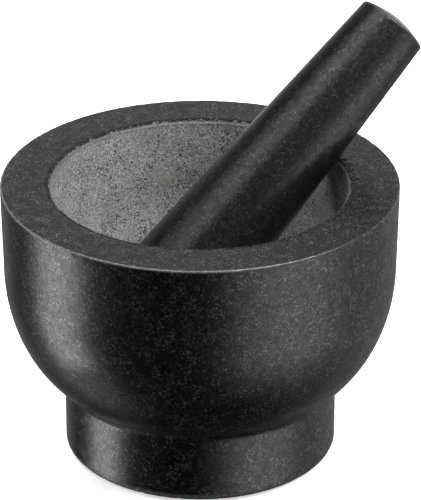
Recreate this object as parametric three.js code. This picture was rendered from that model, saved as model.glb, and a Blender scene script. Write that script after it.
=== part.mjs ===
// A turned granite mortar with its loose pestle leaning in the bowl, and the thin pad
// that the mortar stands on. Millimetres, +Z up. The origin is the middle of the pad's
// underside, on the mortar's axis. The pestle leans towards +X and +Y.

import * as THREE from 'three';

// Mortar, outside
const RIM_RADIUS = 90;
const STONE_HEIGHT = 130;
const RIM_EDGE_RADIUS = 1.9;
const SHOULDER_RADIUS = 89.2;
const SHOULDER_BELOW_RIM = 39.6;
const BELLY_CENTRE_RADIUS = 40.7;
const BELLY_DEPTH = 63.9;
const FOOT_RADIUS = 62.3;
const FOOT_EDGE_RADIUS = 2.7;
const COVE_HEIGHT = 3;
const COVE_SWEEP = THREE.MathUtils.degToRad(3.5);

// Mortar, inside
const MOUTH_RADIUS = 66.7;
const MOUTH_EDGE_RADIUS = 1;
const BOWL_RADIUS = 65;
const BOWL_WALL_DEPTH = 30;
const BOWL_DEPTH = 92;

// Pad, glued in a shallow recess under the foot
const PAD_RADIUS = 51;
const PAD_THICKNESS = 2;
const PAD_PROUD = 0.8;
const PAD_CHAMFER = 0.3;
const GLUE_GAP = 0.3;

// Pestle
const PESTLE_LENGTH = 198;
const PESTLE_TOP_RADIUS = 16.8;
const PESTLE_END_RADIUS = 25.8;
const PESTLE_END_DOME = 22;
const PESTLE_TOP_DOME = 3.0;
const PESTLE_TOP_EDGE_RADIUS = 1.2;

// How the pestle leans: its angle from upright, the way it leans, and the point where
// its axis passes through the plane of the rim
const LEAN = THREE.MathUtils.degToRad(48.8);
const LEAN_TOWARDS = THREE.MathUtils.degToRad(31.9);
const RIM_CROSSING_X = 33.3;
const RIM_CROSSING_Y = 14.8;
const REACH_PAST_RIM = 88.3;

// Facets round each turned piece
const MORTAR_FACETS = 72;
const PESTLE_FACETS = 48;

const FOOT_BASE_Z = PAD_PROUD;
const RIM_Z = FOOT_BASE_Z + STONE_HEIGHT;
const RECESS_TOP_Z = PAD_THICKNESS + GLUE_GAP;
const RECESS_RADIUS = PAD_RADIUS + GLUE_GAP;

const blackGranite = new THREE.MeshStandardMaterial({
  color: 0x2b2b2c, roughness: 0.38, metalness: 0,
});
const greyFoam = new THREE.MeshStandardMaterial({
  color: 0x1d1d1e, roughness: 0.9, metalness: 0,
});

// Points of an elliptical arc in the (radius, height) plane, both ends included.
function arc(centre, radii, fromAngle, toAngle, steps) {
  const points = [];
  for (let i = 0; i <= steps; i += 1) {
    const angle = THREE.MathUtils.lerp(fromAngle, toAngle, i / steps);
    points.push(new THREE.Vector2(
      centre.x + radii.x * Math.cos(angle),
      centre.y + radii.y * Math.sin(angle),
    ));
  }
  return points;
}

// A solid turned about +Z from an outline that starts and ends on the axis.
function turned(outline, facets) {
  const geometry = new THREE.LatheGeometry(outline, facets);
  geometry.rotateX(Math.PI / 2);
  return geometry;
}

// The mortar is one block of stone: bowl, rim and foot.
function makeMortar() {
  const right = Math.PI / 2;
  const shoulderZ = RIM_Z - SHOULDER_BELOW_RIM;
  const bellyCentre = new THREE.Vector2(BELLY_CENTRE_RADIUS, shoulderZ);
  const bellyRadii = new THREE.Vector2(SHOULDER_RADIUS - BELLY_CENTRE_RADIUS, BELLY_DEPTH);

  // The belly's curve would meet the foot at this angle; a small cove softens the corner.
  const joinAngle = -Math.acos((FOOT_RADIUS - bellyCentre.x) / bellyRadii.x);
  const joinZ = bellyCentre.y + bellyRadii.y * Math.sin(joinAngle);
  const belly = arc(bellyCentre, bellyRadii, joinAngle + COVE_SWEEP, 0, 18);
  const cove = new THREE.QuadraticBezierCurve(
    new THREE.Vector2(FOOT_RADIUS, joinZ - COVE_HEIGHT),
    new THREE.Vector2(FOOT_RADIUS, joinZ),
    belly[0],
  );

  const footEdge = arc(
    new THREE.Vector2(FOOT_RADIUS - FOOT_EDGE_RADIUS, FOOT_BASE_Z + FOOT_EDGE_RADIUS),
    new THREE.Vector2(FOOT_EDGE_RADIUS, FOOT_EDGE_RADIUS), -right, 0, 5,
  );
  const rimEdge = arc(
    new THREE.Vector2(RIM_RADIUS - RIM_EDGE_RADIUS, RIM_Z - RIM_EDGE_RADIUS),
    new THREE.Vector2(RIM_EDGE_RADIUS, RIM_EDGE_RADIUS), 0, right, 4,
  );
  const mouthEdge = arc(
    new THREE.Vector2(MOUTH_RADIUS + MOUTH_EDGE_RADIUS, RIM_Z - MOUTH_EDGE_RADIUS),
    new THREE.Vector2(MOUTH_EDGE_RADIUS, MOUTH_EDGE_RADIUS), right, 2 * right, 3,
  );
  const bowl = arc(
    new THREE.Vector2(0, RIM_Z - BOWL_WALL_DEPTH),
    new THREE.Vector2(BOWL_RADIUS, BOWL_DEPTH - BOWL_WALL_DEPTH), 0, -right, 16,
  );

  const outline = [
    new THREE.Vector2(0, RECESS_TOP_Z),
    new THREE.Vector2(RECESS_RADIUS, RECESS_TOP_Z),
    new THREE.Vector2(RECESS_RADIUS, FOOT_BASE_Z),
    ...footEdge,
    ...cove.getPoints(4).slice(0, -1),
    ...belly,
    ...rimEdge,
    ...mouthEdge,
    ...bowl,
  ];
  outline[outline.length - 1].x = 0;
  const mortar = new THREE.Mesh(turned(outline, MORTAR_FACETS), blackGranite);
  mortar.name = 'mortar';
  return mortar;
}

// The pad is a plain disc with its edges broken, its underside at the origin.
function makeFootPad() {
  const outline = [
    new THREE.Vector2(0, 0),
    new THREE.Vector2(PAD_RADIUS - PAD_CHAMFER, 0),
    new THREE.Vector2(PAD_RADIUS, PAD_CHAMFER),
    new THREE.Vector2(PAD_RADIUS, PAD_THICKNESS - PAD_CHAMFER),
    new THREE.Vector2(PAD_RADIUS - PAD_CHAMFER, PAD_THICKNESS),
    new THREE.Vector2(0, PAD_THICKNESS),
  ];
  const footPad = new THREE.Mesh(turned(outline, MORTAR_FACETS), greyFoam);
  footPad.name = 'foot_pad';
  return footPad;
}

// The pestle is one tapered piece of stone, built upright on the tip of its grinding end.
function makePestle() {
  const right = Math.PI / 2;
  const grindingEnd = arc(
    new THREE.Vector2(0, PESTLE_END_DOME),
    new THREE.Vector2(PESTLE_END_RADIUS, PESTLE_END_DOME), -right, 0, 10,
  );
  grindingEnd[0].x = 0;

  const edge = PESTLE_TOP_EDGE_RADIUS;
  const edgeCentre = new THREE.Vector2(
    PESTLE_TOP_RADIUS - edge,
    PESTLE_LENGTH - PESTLE_TOP_DOME - edge,
  );
  const topEdge = arc(edgeCentre, new THREE.Vector2(edge, edge), 0, right, 4);

  // The flat-looking top is a shallow ball that starts at the end of the rounded edge.
  const capRadius = edgeCentre.x;
  const ballRadius = (capRadius ** 2 + PESTLE_TOP_DOME ** 2) / (2 * PESTLE_TOP_DOME);
  const cap = arc(
    new THREE.Vector2(0, PESTLE_LENGTH - ballRadius),
    new THREE.Vector2(ballRadius, ballRadius),
    Math.acos(capRadius / ballRadius), right, 4,
  ).slice(1);
  cap[cap.length - 1].x = 0;

  const outline = [...grindingEnd, ...topEdge, ...cap];
  const pestle = new THREE.Mesh(turned(outline, PESTLE_FACETS), blackGranite);
  pestle.name = 'pestle';
  return pestle;
}

// Leans the pestle so that its axis passes through the chosen point of the rim's plane.
function leanInBowl(pestle) {
  const axis = new THREE.Vector3(
    Math.sin(LEAN) * Math.cos(LEAN_TOWARDS),
    Math.sin(LEAN) * Math.sin(LEAN_TOWARDS),
    Math.cos(LEAN),
  );
  pestle.position
    .set(RIM_CROSSING_X, RIM_CROSSING_Y, RIM_Z)
    .addScaledVector(axis, REACH_PAST_RIM - PESTLE_LENGTH);
  pestle.rotation.set(0, LEAN, LEAN_TOWARDS, 'ZYX');
}

const mortarAndPestle = new THREE.Group();
const pestle = makePestle();
leanInBowl(pestle);
mortarAndPestle.add(makeMortar(), makeFootPad(), pestle);

export default mortarAndPestle;
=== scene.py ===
import math

import bpy
from mathutils import Matrix, Vector


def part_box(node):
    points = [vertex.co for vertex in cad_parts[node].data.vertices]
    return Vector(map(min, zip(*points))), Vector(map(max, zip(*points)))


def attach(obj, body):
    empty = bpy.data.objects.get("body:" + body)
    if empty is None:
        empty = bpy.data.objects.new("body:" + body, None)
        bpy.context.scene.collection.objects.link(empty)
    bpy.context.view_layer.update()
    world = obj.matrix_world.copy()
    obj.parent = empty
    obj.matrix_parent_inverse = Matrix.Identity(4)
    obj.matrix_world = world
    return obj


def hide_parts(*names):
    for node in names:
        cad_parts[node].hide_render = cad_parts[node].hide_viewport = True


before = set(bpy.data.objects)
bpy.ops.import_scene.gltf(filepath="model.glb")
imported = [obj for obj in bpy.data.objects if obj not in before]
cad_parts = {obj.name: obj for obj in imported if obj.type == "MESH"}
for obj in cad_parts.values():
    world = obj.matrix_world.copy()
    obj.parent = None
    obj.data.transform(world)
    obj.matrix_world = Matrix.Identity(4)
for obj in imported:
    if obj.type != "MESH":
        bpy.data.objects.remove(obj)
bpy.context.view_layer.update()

# ---------------------------------------------------------------------------------------
# Mortar. One block of near-black granite, turned to a round belly over a plain foot.
# The outside and the flat rim are honed. The bowl is ground rough, so it shows light grey,
# and a narrow ring under the mouth is ground finer, which takes the sharp corner off.
# ---------------------------------------------------------------------------------------

MM = 0.001

mortar_low, mortar_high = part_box("mortar")
rim_radius = mortar_high.x / MM
rim_z = mortar_high.z / MM
foot_base_z = mortar_low.z / MM
rim_edge_radius = 0.8
edge_gap = 0.1
shoulder_radius = 89.2
shoulder_z = rim_z - 39.6
belly_centre_radius = 40.7
belly_depth = 63.9
foot_radius = 62.3
foot_edge_radius = 2.7
cove_height = 3
cove_sweep = 3.5

mouth_radius = 67.9
mouth_edge_radius = 0.45
fringe_width = 1.2
fringe_end = 2.1
ease_in = 0.2
ease_down = 0.4
ring_in = 0.5
ring_down = 0.9
lip_radius = 66.9
lip_depth = 1.9
bowl_radius = 65
bowl_wall_depth = 30
bowl_depth = 92
recess_radius = 51.3
recess_depth = 1.5

mortar_facets = 420


def arc(centre, radii, start, end, steps):
    """Points of an elliptical arc, as (radius, height) in mm. Angles are in degrees."""
    turns = [math.radians(start + (end - start) * i / steps) for i in range(steps + 1)]
    return [(centre[0] + radii[0] * math.cos(t), centre[1] + radii[1] * math.sin(t)) for t in turns]


def straight(start, end, steps):
    """Points along a line, as (radius, height) in mm."""
    shares = [i / steps for i in range(steps + 1)]
    return [(start[0] + (end[0] - start[0]) * s, start[1] + (end[1] - start[1]) * s) for s in shares]


def cove(start, corner, end, steps):
    """Points of the small hollow curve that softens an inside corner."""
    shares = [i / steps for i in range(steps + 1)]
    return [
        tuple((1 - s) ** 2 * a + 2 * s * (1 - s) * b + s * s * c for a, b, c in zip(start, corner, end))
        for s in shares
    ]


class Outline:
    """The line that a piece is turned from, from axis to axis, and the finish of each point."""

    # The third mark paints an edge pale: partly wear, partly a painted highlight.
    marks = ("ground", "lip", "wear_and_highlight", "chipped")

    def __init__(self):
        self.points = []
        self.finish = []

    def run(self, points, ground=0.0, lip=0.0, wear_and_highlight=0.0, chipped=0.0):
        """Goes on along these points. A point that is already there isn't repeated."""
        for point in points:
            if self.points and math.dist(point, self.points[-1]) < 1e-6:
                continue
            self.points.append(point)
            self.finish.append((ground, lip, wear_and_highlight, chipped))


class Wire:
    """One output in a node tree. Sums on it add Math nodes, and node() adds any other kind."""

    def __init__(self, tree, socket=None):
        self.tree = tree
        self.socket = socket

    @staticmethod
    def pick(sockets, key):
        """The socket with this name that is switched on, or the socket at this place."""
        if isinstance(key, int):
            return sockets[key]
        return next(s for s in sockets if s.enabled and s.name == key)

    def node(self, kind, settings=None, inputs=None, out=0):
        """Adds a node: first its settings, then the values or wires of its inputs."""
        made = self.tree.nodes.new(kind)
        for name, value in (settings or {}).items():
            setattr(made, name, value)
        for key, value in (inputs or {}).items():
            socket = self.pick(made.inputs, key)
            if isinstance(value, Wire):
                self.tree.links.new(value.socket, socket)
            else:
                socket.default_value = value
        return Wire(self.tree, self.pick(made.outputs, out)) if len(made.outputs) else Wire(self.tree)

    def maths(self, operation, *values):
        return self.node("ShaderNodeMath", {"operation": operation}, dict(enumerate(values)))

    def __add__(self, other):
        return self.maths("ADD", self, other)

    def __sub__(self, other):
        return self.maths("SUBTRACT", self, other)

    def __rsub__(self, other):
        return self.maths("SUBTRACT", other, self)

    def __mul__(self, other):
        return self.maths("MULTIPLY", self, other)

    def __truediv__(self, other):
        return self.maths("DIVIDE", self, other)

    def __rtruediv__(self, other):
        return self.maths("DIVIDE", other, self)

    __radd__ = __add__
    __rmul__ = __mul__

    def rise(self, low, high):
        """0 below low, 1 above high, and a smooth step between them."""
        ends = {"Value": self, "From Min": low, "From Max": high}
        return self.node("ShaderNodeMapRange", {"interpolation_type": "SMOOTHSTEP"}, ends, "Result")

    def scaled(self, factor):
        """A vector times a number."""
        return self.node("ShaderNodeVectorMath", {"operation": "SCALE"}, {"Vector": self, "Scale": factor})

    def moved(self, offset):
        """A vector plus another."""
        return self.node("ShaderNodeVectorMath", {"operation": "ADD"}, {0: self, 1: offset})

    def noise(self, grain, detail=2.0, roughness=0.5):
        """Noise over this vector, with lumps about grain long."""
        values = {"Vector": self, "Scale": 1 / grain, "Detail": detail, "Roughness": roughness}
        return self.node("ShaderNodeTexNoise", None, values, 0)

    def tint(self, low, high):
        """The colour low where this is 0, the colour high where it is 1."""
        colours = {"Factor": self, "A": low, "B": high}
        return self.node("ShaderNodeMix", {"data_type": "RGBA"}, colours, "Result")

    def blend(self, share, other):
        """This colour, turning to the other one as share goes from 0 to 1."""
        colours = {"Factor": share, "A": self, "B": other}
        return self.node("ShaderNodeMix", {"data_type": "RGBA"}, colours, "Result")


def turning_tree():
    """Geometry nodes that turn an outline about Z, then chip its edges and roughen its ground part."""
    seam_gap = 1e-6
    sharp_bend = math.radians(50)
    pit_share = 0.6
    tree = bpy.data.node_groups.new("turned_stone", "GeometryNodeTree")
    sockets = {}
    for name, kind in (
        ("Outline", "NodeSocketGeometry"),
        ("Facets", "NodeSocketInt"),
        ("Grain", "NodeSocketFloat"),
        ("Relief", "NodeSocketFloat"),
        ("Pit Depth", "NodeSocketFloat"),
        ("Chip Size", "NodeSocketFloat"),
        ("Chip Depth", "NodeSocketFloat"),
        ("Seed", "NodeSocketVector"),
        ("Stone", "NodeSocketMaterial"),
    ):
        sockets[name] = tree.interface.new_socket(name, in_out="INPUT", socket_type=kind).identifier
    tree.interface.new_socket("Piece", in_out="OUTPUT", socket_type="NodeSocketGeometry")

    bench = Wire(tree)
    entry = tree.nodes.new("NodeGroupInput")
    given = {name: Wire(tree, entry.outputs[name]) for name in sockets}
    outline = given["Outline"]

    rows = bench.node(
        "GeometryNodeAttributeDomainSize", {"component": "MESH"}, {"Geometry": outline}, "Point Count"
    )
    columns = given["Facets"] + 1
    grid = bench.node("GeometryNodeMeshGrid", None, {"Vertices X": rows, "Vertices Y": columns}, "Mesh")
    index = bench.node("GeometryNodeInputIndex")
    row = bench.maths("FLOOR", (index + 0.5) / columns)
    column = index - row * columns

    def mark_of(name):
        return bench.node(
            "GeometryNodeInputNamedAttribute", {"data_type": "FLOAT"}, {"Name": name}, "Attribute"
        )

    def along_outline(value, data_type):
        """What the outline holds at this row of the grid."""
        return bench.node(
            "GeometryNodeSampleIndex",
            {"data_type": data_type, "domain": "POINT"},
            {"Geometry": outline, "Value": value, "Index": row},
        )

    place = bench.node("GeometryNodeInputPosition")
    profile = along_outline(place, "FLOAT_VECTOR")
    radius = profile.node("ShaderNodeSeparateXYZ", None, {0: profile}, "X")
    height = profile.node("ShaderNodeSeparateXYZ", None, {0: profile}, "Z")
    turn = column * math.tau / given["Facets"]
    round_place = bench.node(
        "ShaderNodeCombineXYZ",
        None,
        {"X": radius * bench.maths("COSINE", turn), "Y": radius * bench.maths("SINE", turn), "Z": height},
    )
    skin = bench.node("GeometryNodeSetPosition", None, {"Geometry": grid, "Position": round_place})
    skin = bench.node("GeometryNodeFlipFaces", None, {"Mesh": skin})
    for mark in Outline.marks:
        skin = bench.node(
            "GeometryNodeStoreNamedAttribute",
            {"data_type": "FLOAT", "domain": "POINT"},
            {"Geometry": skin, "Name": mark, "Value": along_outline(mark_of(mark), "FLOAT")},
        )
    skin = bench.node("GeometryNodeMergeByDistance", None, {"Geometry": skin, "Distance": seam_gap})

    spot = place.moved(given["Seed"])

    def lumps(size, detail):
        return spot.scaled(1 / size).noise(1, detail)

    roughened = lumps(given["Grain"], 2.0) * given["Relief"]
    roughened = roughened + lumps(given["Grain"] * pit_share, 0.0).rise(0.62, 0.74) * given["Pit Depth"]
    chips = lumps(given["Chip Size"], 1.0).rise(0.56, 0.70) * given["Chip Depth"]
    inward = -1.0 * (mark_of("ground") * roughened + mark_of("chipped") * chips)
    sink = bench.node("GeometryNodeInputNormal").scaled(inward)
    skin = bench.node("GeometryNodeSetPosition", None, {"Geometry": skin, "Offset": sink})

    bend = bench.node("GeometryNodeInputMeshEdgeAngle", None, None, "Unsigned Angle")
    compared = {"A": bend, "B": sharp_bend}
    soft_edges = bench.node("FunctionNodeCompare", {"operation": "LESS_THAN"}, compared)
    skin = bench.node(
        "GeometryNodeSetShadeSmooth", {"domain": "FACE"}, {"Geometry": skin, "Shade Smooth": True}
    )
    skin = bench.node(
        "GeometryNodeSetShadeSmooth", {"domain": "EDGE"}, {"Geometry": skin, "Shade Smooth": soft_edges}
    )
    skin = bench.node("GeometryNodeRealizeInstances", None, {"Geometry": skin})
    skin = bench.node("GeometryNodeSetMaterial", None, {"Geometry": skin, "Material": given["Stone"]})
    leave = tree.nodes.new("NodeGroupOutput")
    tree.links.new(skin.socket, leave.inputs["Piece"])
    return tree, sockets


turned_stone, turned_sockets = turning_tree()


def turn(
    name, outline, material, facets, grain=1.0, relief=0.0, pits=0.0, chip_size=1.0, chips=0.0, seed=0.0
):
    """One turned piece, standing on the axis, as a plain mesh. Sizes are in mm. Grain is how wide
    the lumps of a ground face are, and relief, pits and chips are how deep each goes."""
    drawn = bpy.data.meshes.new(name)
    places = [(radius * MM, 0.0, height * MM) for radius, height in outline.points]
    drawn.from_pydata(places, [(i, i + 1) for i in range(len(places) - 1)], [])
    for column, mark in enumerate(Outline.marks):
        values = drawn.attributes.new(mark, "FLOAT", "POINT")
        values.data.foreach_set("value", [finish[column] for finish in outline.finish])
    piece = bpy.data.objects.new(name, drawn)
    bpy.context.scene.collection.objects.link(piece)
    lathe = piece.modifiers.new("lathe", "NODES")
    lathe.node_group = turned_stone
    for socket, value in (
        ("Facets", facets),
        ("Grain", grain * MM),
        ("Relief", relief * MM),
        ("Pit Depth", pits * MM),
        ("Chip Size", chip_size * MM),
        ("Chip Depth", chips * MM),
        ("Seed", (seed, seed * 2, seed * 3)),
        ("Stone", material),
    ):
        lathe[turned_sockets[socket]] = value
    depsgraph = bpy.context.evaluated_depsgraph_get()
    solid = bpy.data.meshes.new_from_object(piece.evaluated_get(depsgraph), depsgraph=depsgraph)
    piece.modifiers.remove(lathe)
    piece.data = solid
    bpy.data.meshes.remove(drawn)
    solid.name = name
    return piece


def granite(name, seed, needles, gloss, foot=(0, 0, 0), lean=(0, 0, 0)):
    """Honed black granite, turned about an axis that stands on foot and leans by lean. Needles
    is how far its pale grain shows. Where the mark "ground" is set it is rough and light grey."""
    black = (0.0018, 0.0018, 0.0020, 1)
    needle_grey = (0.043, 0.042, 0.041, 1)
    fleck_grey = (0.13, 0.13, 0.12, 1)
    rubbed_highlight_grey = (0.24, 0.24, 0.234, 1)
    crystal_dark = (0.105, 0.105, 0.102, 1)
    crystal_pale = (0.44, 0.44, 0.43, 1)
    dull_stain = (0.16, 0.16, 0.150, 1)
    warm_stain = (0.23, 0.23, 0.19, 1)
    cool_stain = (0.20, 0.20, 0.23, 1)
    pit_black = (0.022, 0.022, 0.023, 1)
    lip_grey = (0.045, 0.045, 0.044, 1)
    chipped_shade_black = (0.004, 0.004, 0.004, 1)
    curl_sizes = ((1.6, 0.07), (2.2, 0.065), (3.4, 0.04))
    needle_shape = (0.36, 0.36, 2.0)
    fleck_spacing = 1.9
    ring_spacing = 0.55
    ground_roughness = 0.82
    lip_roughness = 0.60
    fringe_roughness = 0.95
    coat_roughness = 0.27

    material = bpy.data.materials.new(name)
    material.use_nodes = True
    tree = material.node_tree
    tree.nodes.clear()
    bench = Wire(tree)
    where = bench.node("ShaderNodeTexCoord", None, None, "Object")
    upright = {"Vector": where, "Location": foot, "Rotation": lean}
    stood = bench.node("ShaderNodeMapping", {"vector_type": "TEXTURE"}, upright).scaled(1 / MM)
    place = stood.moved((seed, seed * 2, seed * 3))

    def axis_part(axis):
        return stood.node("ShaderNodeSeparateXYZ", None, {0: stood}, axis)

    def mark_of(mark):
        return bench.node("ShaderNodeAttribute", {"attribute_name": mark}, None, "Fac")

    def strokes(offset, length, width):
        """Short thin curls: where a noise passes its middle value, broken up by a finer noise."""
        here = place.moved(offset)
        away = bench.maths("ABSOLUTE", here.noise(length, 0) - 0.5)
        return (1 - away.rise(width * 0.6, width)) * here.noise(length * 0.5, 0).rise(0.53, 0.58)

    ground = mark_of("ground")
    lip = mark_of("lip")
    wear_and_highlight = mark_of("wear_and_highlight")
    chipped = mark_of("chipped")
    radius = bench.maths("SQRT", axis_part("X") * axis_part("X") + axis_part("Y") * axis_part("Y"))

    # Pale grains like bent needles lie every way through the stone, in thick and thin clouds.
    clouds = place.noise(6, 3).rise(0.36, 0.64)
    grain = 0.0
    for i, (length, width) in enumerate(curl_sizes):
        grain = bench.maths("MAXIMUM", grain, strokes((i * 31, i * 17, i * 53), length, width))
    for i in range(3):
        turned = {"Rotation": (i * 0.9, i * 1.7, i * 2.3), "Scale": needle_shape, "Vector": place}
        lie = bench.node("ShaderNodeMapping", {"vector_type": "TEXTURE"}, turned)
        grain = bench.maths("MAXIMUM", grain, lie.noise(1, 0).rise(0.69, 0.74))
    grain = grain * (0.25 + 0.75 * clouds) * place.noise(1.1, 1).rise(0.38, 0.62) * needles
    cell = {"Vector": place, "Scale": 1 / fleck_spacing}
    flecks = 1 - bench.node("ShaderNodeTexVoronoi", None, cell, "Distance").rise(0.10, 0.16)
    chosen = bench.node("ShaderNodeTexVoronoi", None, cell, "Color")
    flecks = flecks * chosen.node("ShaderNodeSeparateColor", None, {0: chosen}, "Red").rise(0.86, 0.90)
    fine = place.noise(0.5, 2, 0.6)
    pores = place.moved((21, 3, 8)).noise(1.1, 2).rise(0.54, 0.64)

    # Honing leaves faint rings round the axis, broken and never quite round.
    drift = place.noise(14, 1) * 2.6
    ring_place = {"X": radius / ring_spacing + drift, "Y": axis_part("Z") / ring_spacing + drift}
    rings = bench.node("ShaderNodeCombineXYZ", None, ring_place).noise(1, 1)
    rings = rings * place.noise(3.2, 1).rise(0.35, 0.6)

    # Edges are painted pale, partly for real wear and partly as a painted highlight along the edge: full
    # on the left, towards the soft box, and faint on the right, where the pestle leans.
    honed = grain.tint(black, needle_grey)
    honed = honed.blend(flecks * 0.7, fleck_grey)
    rubbed_and_highlight = wear_and_highlight * (1 - axis_part("X").rise(0, 55) * 0.8) * (0.3 + 0.7 * fine.rise(0.42, 0.60))
    honed = honed.blend(rubbed_and_highlight * 0.5, rubbed_highlight_grey)

    # The ground bowl is crushed crystal: light grey, with clustered black pits and faint stains.
    crystal = place.noise(0.85, 3, 0.72)
    broad = place.moved((11, 5, 60)).noise(16, 3)
    bowl = crystal.rise(0.34, 0.66).tint(crystal_dark, crystal_pale)
    bowl = bowl.blend(broad.rise(0.50, 0.68) * 0.40, dull_stain)
    bowl = bowl.blend(place.moved((90, 4, 8)).noise(8, 2).rise(0.52, 0.70) * 0.35, warm_stain)
    bowl = bowl.blend(place.moved((40, 7, 21)).noise(7, 2).rise(0.55, 0.72) * 0.35, cool_stain)
    clustered = 0.70 - place.moved((3, 9, 77)).noise(11, 2).rise(0.40, 0.62) * 0.13
    pits = (place.moved((3, 90, 14)).noise(1.0, 1.5) - clustered).rise(0.0, 0.05)
    bowl = bowl.blend(pits * 0.85, pit_black)
    ring = bowl.blend(0.7, lip_grey)

    # The mouth's edge is chipped, and its jagged fringe is painted near black all round: partly the chips,
    # partly painted shade along the edge.
    colour = honed.blend(ground, bowl).blend(lip, ring)
    jagged = chipped * (1 - wear_and_highlight) * place.moved((7, 70, 2)).noise(1.8, 3, 0.7).rise(0.44, 0.50)
    colour = colour.blend(jagged, chipped_shade_black)

    # The honed face has a faint polished shine, which the ground bowl and the fringe don't.
    polish = 0.26 + grain * 0.06 + fine * 0.06 + pores * 0.12
    roughness = polish + (ground_roughness - polish) * ground
    roughness = roughness + (lip_roughness - roughness) * lip
    roughness = roughness + (fringe_roughness - roughness) * jagged
    shine = 0.06 + 0.40 * rings + 1.1 * grain + 0.6 * flecks
    shine = shine * (1 - ground) * (1 - lip) * (1 - jagged)
    relief = fine * 0.012 + rings * 0.034 + grain * 0.006 + ground * (crystal * 0.20 - pits * 0.25)
    relief = relief - jagged * 0.35
    bump = bench.node("ShaderNodeBump", None, {"Height": relief, "Distance": MM, "Strength": 1.0})
    surface = bench.node("ShaderNodeBsdfPrincipled", None, {
        "Base Color": colour, "Roughness": roughness, "Normal": bump, "Specular IOR Level": gloss,
        "Coat Weight": shine, "Coat Roughness": coat_roughness,
    })
    bench.node("ShaderNodeOutputMaterial", None, {"Surface": surface})
    return material


recess_z = foot_base_z + recess_depth
foot_edge = foot_radius - foot_edge_radius
foot_edge_z = foot_base_z + foot_edge_radius
belly_width = shoulder_radius - belly_centre_radius
join_turn = -math.degrees(math.acos((foot_radius - belly_centre_radius) / belly_width))
join_z = shoulder_z + belly_depth * math.sin(math.radians(join_turn))
foot_wall_top = join_z - cove_height
rim_edge = rim_radius - rim_edge_radius
rim_edge_z = rim_z - rim_edge_radius
mouth_edge = mouth_radius + mouth_edge_radius
mouth_edge_z = rim_z - mouth_edge_radius
lip_z = rim_z - lip_depth
bowl_wall_z = rim_z - bowl_wall_depth
bowl_floor_z = rim_z - bowl_depth
belly = arc(
    (belly_centre_radius, shoulder_z), (belly_width, belly_depth), join_turn + cove_sweep, 0, steps=34
)

# From the middle of the underside, out over the foot, up the belly and over the rim. The plain
# points edge_gap away from the rim's edge keep its pale finish, partly wear and partly painted highlight,
# to the edge itself.
mortar_outline = Outline()
mortar_outline.run(straight((0, recess_z), (recess_radius, recess_z), steps=6))
mortar_outline.run(straight((recess_radius, foot_base_z), (foot_edge, foot_base_z), steps=4))
mortar_outline.run(
    arc((foot_edge, foot_edge_z), (foot_edge_radius,) * 2, -90, 0, steps=8), wear_and_highlight=0.5, chipped=0.4
)
mortar_outline.run(straight((foot_radius, foot_edge_z + 1), (foot_radius, foot_wall_top), steps=10))
mortar_outline.run(cove((foot_radius, foot_wall_top), (foot_radius, join_z), belly[0], steps=6))
mortar_outline.run(belly)
mortar_outline.run(straight((shoulder_radius, shoulder_z), (rim_radius, rim_edge_z - edge_gap), steps=15))
mortar_outline.run(
    arc((rim_edge, rim_edge_z), (rim_edge_radius,) * 2, 0, 90, steps=7), wear_and_highlight=1.0, chipped=0.2
)
mortar_outline.run(straight((rim_edge - edge_gap, rim_z), (mouth_edge + fringe_end, rim_z), steps=10))

# Over the mouth's chipped edge, down the finer ground ring and into the rough bowl. Two short
# steps ease the corner between the edge and the ring.
mortar_outline.run(
    straight((mouth_edge + fringe_width, rim_z), (mouth_edge, rim_z), steps=2), chipped=1.0
)
mortar_outline.run([(mouth_radius, mouth_edge_z)], chipped=1.0, lip=1.0)
mortar_outline.run([(mouth_radius - ease_in, mouth_edge_z - ease_down)], chipped=0.6, lip=1.0)
ring_top = (mouth_radius - ring_in, mouth_edge_z - ring_down)
mortar_outline.run(straight(ring_top, (lip_radius, lip_z), steps=2), lip=1.0)
mortar_outline.run(
    straight((lip_radius - 0.05, lip_z - 0.5), (bowl_radius, bowl_wall_z), steps=30), ground=1.0
)
mortar_outline.run(
    arc((0, bowl_wall_z), (bowl_radius, bowl_depth - bowl_wall_depth), 0, -90, steps=84), ground=1.0
)
mortar_outline.points[-1] = (0, bowl_floor_z)

mortar_granite = granite("mortar_granite", seed=0, needles=1.0, gloss=0.36)
mortar = turn(
    "mortar_stone", mortar_outline, mortar_granite, mortar_facets,
    grain=2.4, relief=0.16, pits=0.28, chip_size=2.2, chips=0.75, seed=0.011,
)
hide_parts("mortar")
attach(mortar, "mortar")

# ---------------------------------------------------------------------------------------
# Pestle. One tapered piece of the same granite, turned and honed, with a shallow domed
# top and a rounded grinding end. It leans loose in the bowl.
# ---------------------------------------------------------------------------------------

pestle_length = 198
pestle_top_radius = 16.8
pestle_end_radius = 25.8
pestle_end_dome = 22
pestle_top_dome = 3.0
pestle_top_edge_radius = 1.2
lean = math.radians(48.8)
lean_towards = math.radians(31.9)
rim_crossing = Vector((33.3, 14.8, rim_z))
reach_past_rim = 88.3
pestle_facets = 176

pestle_cap_radius = pestle_top_radius - pestle_top_edge_radius
pestle_ball_radius = (pestle_cap_radius**2 + pestle_top_dome**2) / (2 * pestle_top_dome)
pestle_edge_z = pestle_length - pestle_top_dome - pestle_top_edge_radius
pestle_outline = Outline()
pestle_outline.run(arc((0, pestle_end_dome), (pestle_end_radius, pestle_end_dome), -90, 0, steps=36))
pestle_outline.points[0] = (0, 0)
pestle_outline.run(
    straight((pestle_end_radius, pestle_end_dome), (pestle_top_radius, pestle_edge_z), steps=90)
)
pestle_outline.run(
    arc((pestle_cap_radius, pestle_edge_z), (pestle_top_edge_radius,) * 2, 0, 90, steps=8),
    wear_and_highlight=0.3, chipped=0.3,
)
pestle_outline.run(arc(
    (0, pestle_length - pestle_ball_radius), (pestle_ball_radius,) * 2,
    math.degrees(math.acos(pestle_cap_radius / pestle_ball_radius)), 90, steps=14,
))
pestle_outline.points[-1] = (0, pestle_length)

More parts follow.
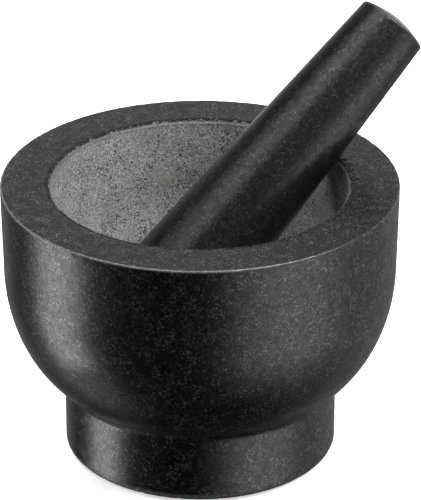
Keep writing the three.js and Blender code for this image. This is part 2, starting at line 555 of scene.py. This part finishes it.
leaning = Matrix.Rotation(lean_towards, 4, "Z") @ Matrix.Rotation(lean, 4, "Y")
pestle_axis = leaning @ Vector((0, 0, 1))
pestle_tip = (rim_crossing + pestle_axis * (reach_past_rim - pestle_length)) * MM
# The pestle's copy of the granite shows its pale grain at under half strength: painted shade that keeps
# the pestle darker than the mortar. Its gloss is lower too.
pestle_shaded_granite = granite(
    "pestle_shaded_granite", seed=37, needles=0.45, gloss=0.29, foot=pestle_tip, lean=leaning.to_euler()
)
pestle = turn(
    "pestle_stone", pestle_outline, pestle_shaded_granite, pestle_facets, chip_size=2.2, chips=0.25, seed=0.23
)
pestle.data.transform(Matrix.Translation(pestle_tip) @ leaning)
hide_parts("pestle")
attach(pestle, "pestle")

# ---------------------------------------------------------------------------------------
# Foot pad. A thin disc of closed-cell foam, die-cut and glued into the shallow recess
# under the foot, so that the stone doesn't scratch the table.
# ---------------------------------------------------------------------------------------

pad_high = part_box("foot_pad")[1]
pad_radius = pad_high.x / MM
pad_thickness = pad_high.z / MM
pad_edge = 0.3
pad_facets = 160


def foam(name):
    """Matt black foam: fine closed cells, a little dust in the hollows."""
    cell_dark = (0.012, 0.012, 0.013, 1)
    cell_pale = (0.030, 0.030, 0.031, 1)
    dust_grey = (0.07, 0.068, 0.064, 1)
    cell_spacing = 0.6
    matt = 0.85

    material = bpy.data.materials.new(name)
    material.use_nodes = True
    tree = material.node_tree
    tree.nodes.clear()
    bench = Wire(tree)
    place = bench.node("ShaderNodeTexCoord", None, None, "Object").scaled(1 / MM)
    cell = {"Vector": place, "Scale": 1 / cell_spacing}
    cells = bench.node("ShaderNodeTexVoronoi", None, cell, "Distance")
    dust = place.noise(6, 3).rise(0.5, 0.75)
    skin = cells.tint(cell_dark, cell_pale).blend(dust * 0.4, dust_grey)
    bump = bench.node("ShaderNodeBump", None, {"Height": cells * 0.08, "Distance": MM, "Strength": 1.0})
    surface = bench.node("ShaderNodeBsdfPrincipled", None, {
        "Base Color": skin, "Roughness": matt + dust * 0.1, "Normal": bump,
    })
    bench.node("ShaderNodeOutputMaterial", None, {"Surface": surface})
    return material


pad_outline = Outline()
pad_flat = pad_radius - pad_edge
pad_outline.run(straight((0, 0), (pad_flat, 0), steps=12))
pad_outline.run(arc((pad_flat, pad_edge), (pad_edge, pad_edge), -90, 0, steps=4))
pad_outline.run(arc((pad_flat, pad_thickness - pad_edge), (pad_edge, pad_edge), 0, 90, steps=4))
pad_outline.run(straight((pad_flat, pad_thickness), (0, pad_thickness), steps=12))
foot_pad = turn("foot_pad_foam", pad_outline, foam("pad_foam"), pad_facets)
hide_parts("foot_pad")
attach(foot_pad, "mortar")

# ---------------------------------------------------------------------------------------
# Floor, light and camera. A plain pale floor in a white studio: a tall soft box on the left,
# a wide dim one on the right, pale walls behind, a soft light overhead, and two weak lights
# that only lift the bowl's right wall and the underside of the belly.
# ---------------------------------------------------------------------------------------

floor_size = 6.0
floor_gap = 0.0001
floor_glow = 0.55

bpy.ops.mesh.primitive_plane_add(size=floor_size, location=(0, 0, -floor_gap))
floor = bpy.context.object
floor.name = "studio_floor"
paper = bpy.data.materials.new("pale_paper")
paper.use_nodes = True
paper_shader = paper.node_tree.nodes["Principled BSDF"]
paper_shader.inputs["Base Color"].default_value = (0.85, 0.85, 0.85, 1)
paper_shader.inputs["Roughness"].default_value = 0.9
paper_shader.inputs["Emission Color"].default_value = (1, 1, 1, 1)
paper_shader.inputs["Emission Strength"].default_value = floor_glow
floor.data.materials.append(paper)
floor.visible_glossy = False
floor.visible_diffuse = False
floor.visible_shadow = False


def studio():
    """The world: white to the camera, and soft boxes by direction to everything else. Azimuth
    is in degrees from the front, growing to the right, and z is 1 straight up."""
    world = bpy.data.worlds.new("studio")
    world.use_nodes = True
    tree = world.node_tree
    tree.nodes.clear()
    bench = Wire(tree)
    way = bench.node("ShaderNodeTexCoord", None, None, "Generated")
    x = way.node("ShaderNodeSeparateXYZ", None, {0: way}, "X")
    y = way.node("ShaderNodeSeparateXYZ", None, {0: way}, "Y")
    z = way.node("ShaderNodeSeparateXYZ", None, {0: way}, "Z")
    azimuth = bench.maths("ARCTAN2", x, y * -1) * (180 / math.pi)

    # The table's top is seen in the underside of the belly, pale on the left, dim on the right.
    over_table = z.rise(-0.90, -0.50)
    left_table = azimuth.rise(-140, -110) * (1 - azimuth.rise(-85, -55)) * 0.7
    right_table = azimuth.rise(15, 70) * 0.13
    table = (left_table + right_table) * (1 - over_table) * z.rise(-0.99, -0.80)

    left_glow = azimuth.rise(-126, -106) * (1 - azimuth.rise(-100, -82)) * z.rise(0.1, 0.4) * 0.70
    right_box = azimuth.rise(4, 44) * (1 - azimuth.rise(52, 105))
    right_box = right_box * (1 - z.rise(-0.25, 0.32) * 0.8) * 1.9
    back_wall = azimuth.rise(115, 150) + 1 - azimuth.rise(-150, -115)
    walls = (azimuth.rise(20, 80) + 1 - azimuth.rise(-160, -125)) * 0.42
    walls = walls * (1 - back_wall * (1 - z.rise(-0.1, 0.4)) * 0.4)

    # A pale patch low on the back wall shows in the pestle's end cap. The ceiling is white, and
    # brightest on the left.
    back_patch = azimuth.rise(115, 150) + 1 - azimuth.rise(-176, -154)
    back_patch = back_patch * z.rise(-0.36, -0.24) * (1 - z.rise(0, 0.2)) * 0.9
    high_left = azimuth.rise(-150, -110) * (1 - azimuth.rise(-40, 0)) * z.rise(0.78, 0.88) * 2.4
    ceiling = z.rise(0.80, 0.95) * 2.0

    glow = 0.004 + (left_glow + right_box + walls) * over_table
    glow = glow + back_patch + high_left + table + ceiling
    seen = bench.node("ShaderNodeLightPath", None, None, "Is Camera Ray")
    strength = glow + (1 - glow) * seen
    light = bench.node("ShaderNodeBackground", None, {"Color": (1, 1, 1, 1), "Strength": strength})
    bench.node("ShaderNodeOutputWorld", None, {"Surface": light})
    return world


def soft_light(name, shape, size, power, place):
    """A soft light, its size in metres and its power in watts. It shines down until it is aimed."""
    lamp = bpy.data.lights.new(name, "AREA")
    lamp.shape = shape
    lamp.size = size
    lamp.energy = power
    light = bpy.data.objects.new(name, lamp)
    scene.collection.objects.link(light)
    light.location = place
    return light


def aim(light, target):
    """Turns a light so that it shines at this point."""
    light.rotation_euler = (Vector(target) - light.location).to_track_quat("-Z", "Y").to_euler()


scene = bpy.context.scene
scene.world = studio()
scene.view_settings.view_transform = "Standard"

stone_middle = (0, 0, 0.1)
stone_low = (0, 0, 0.05)

overhead = soft_light("overhead_soft_box", "DISK", size=0.9, power=18.0, place=(0.60, -0.26, 1.12))
aim(overhead, stone_middle)

# A small light high behind on the left reaches the bowl's right wall, past the pestle.
back = soft_light("back_soft_box", "DISK", size=0.3, power=6.0, place=(-0.50, 0.50, 0.95))
aim(back, stone_middle)
back.visible_glossy = False
back.visible_camera = False

# A weak fill from low in front brings out the grain under the belly.
fill = soft_light("low_fill", "DISK", size=0.8, power=3.4, place=(-0.10, -0.65, -0.85))
aim(fill, stone_low)
fill.visible_glossy = False
fill.visible_camera = False

# The left soft box stands close and upright, and reaches below the table's edge.
side_height = 0.97
side = soft_light("left_soft_box", "RECTANGLE", size=0.34, power=4.1, place=(-0.64, -0.06, -0.035))
side.data.size_y = side_height
side.rotation_euler = (math.pi / 2, 0, -math.pi / 2)
side.visible_camera = False

camera_lift = math.radians(26.46)
camera_distance = 1.620
camera_target = Vector((0.00473, 0, 0.0964))
camera_sensor = 36
camera_lens = 256.9
camera_data = bpy.data.cameras.new("camera")
camera_data.sensor_width = camera_sensor
camera_data.lens = camera_lens
camera = bpy.data.objects.new("camera", camera_data)
scene.collection.objects.link(camera)
back_off = Vector((0, -math.cos(camera_lift), math.sin(camera_lift)))
camera.location = camera_target + back_off * camera_distance
camera.rotation_euler = (math.pi / 2 - camera_lift, 0, 0)
scene.camera = camera
